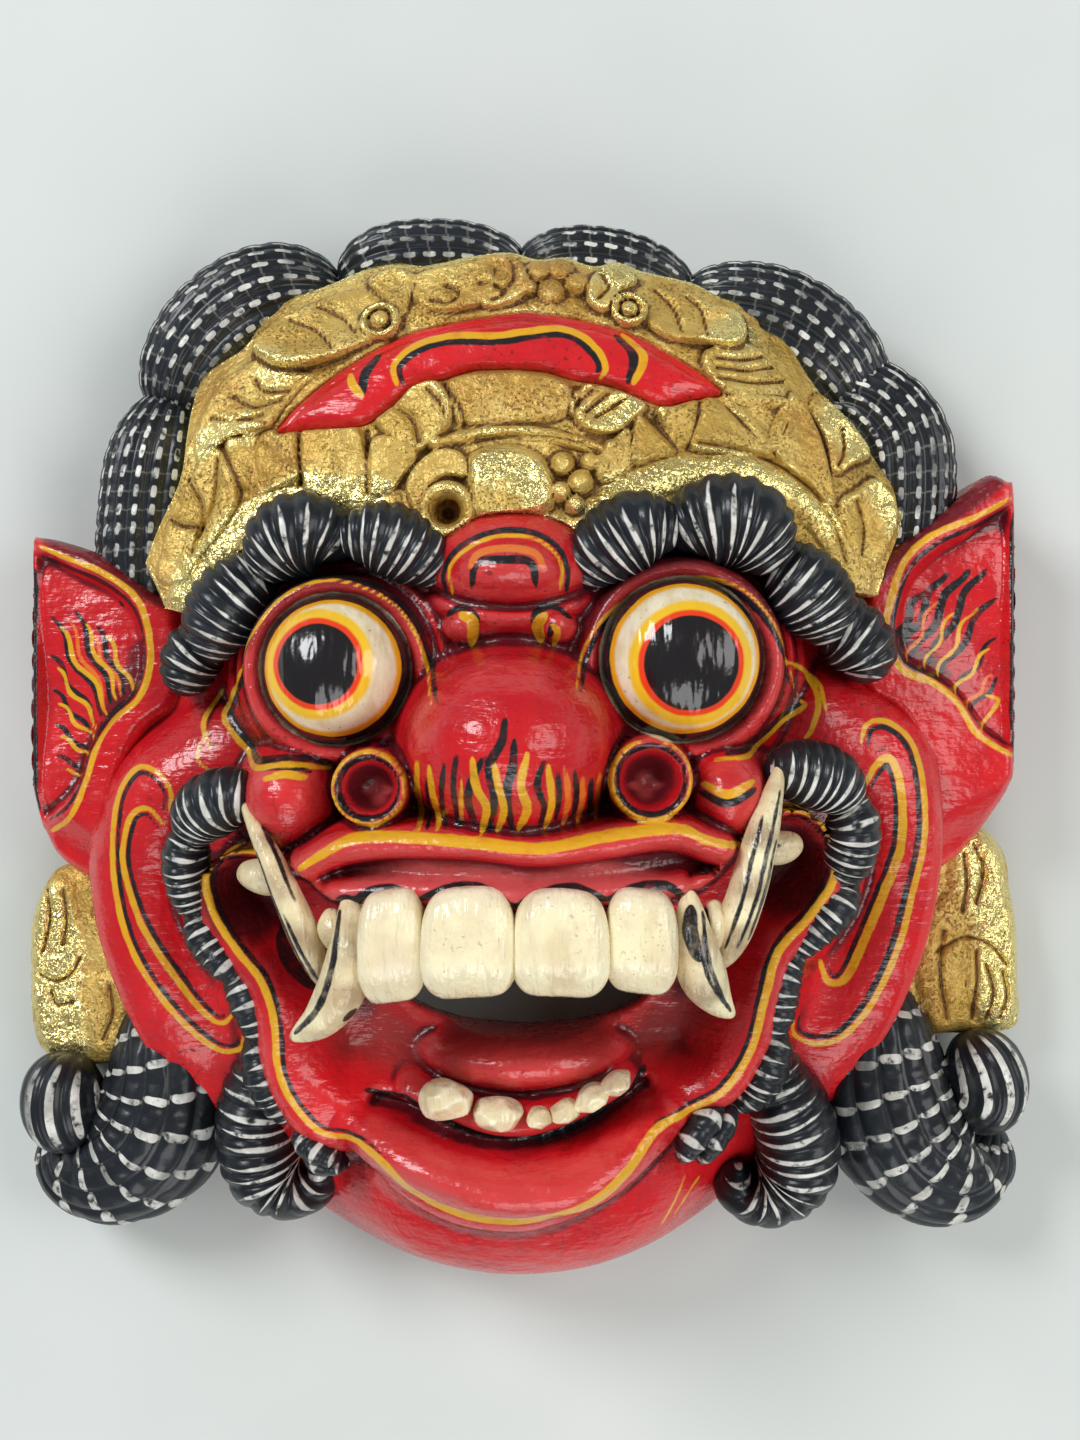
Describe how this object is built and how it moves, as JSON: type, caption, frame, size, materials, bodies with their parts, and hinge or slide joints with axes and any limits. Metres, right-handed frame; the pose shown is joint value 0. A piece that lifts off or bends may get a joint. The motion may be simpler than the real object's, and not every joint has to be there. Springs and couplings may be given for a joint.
{
  "type": "barong mask",
  "caption": "Carved and painted hollow wooden demon mask with bulging eyes, tusks, open mouth, gilt diadem, ears and curled hair; hangs on a wall or lies on its back rim.",
  "frame": {"origin": "centre of the bounding box's underside, on the plane of the flat back rim the mask lies on", "axes": "+Z out of the face, +Y towards the crown, +X towards the viewer's right when the face is looked at"},
  "size_m": [0.295, 0.3098, 0.1173],
  "materials": {
    "painted_wood": "glossy red paint on wood, worn at the ridges"
  },
  "bodies": {
    "root": {"mask": "painted_wood"}
  },
  "joints": []
}
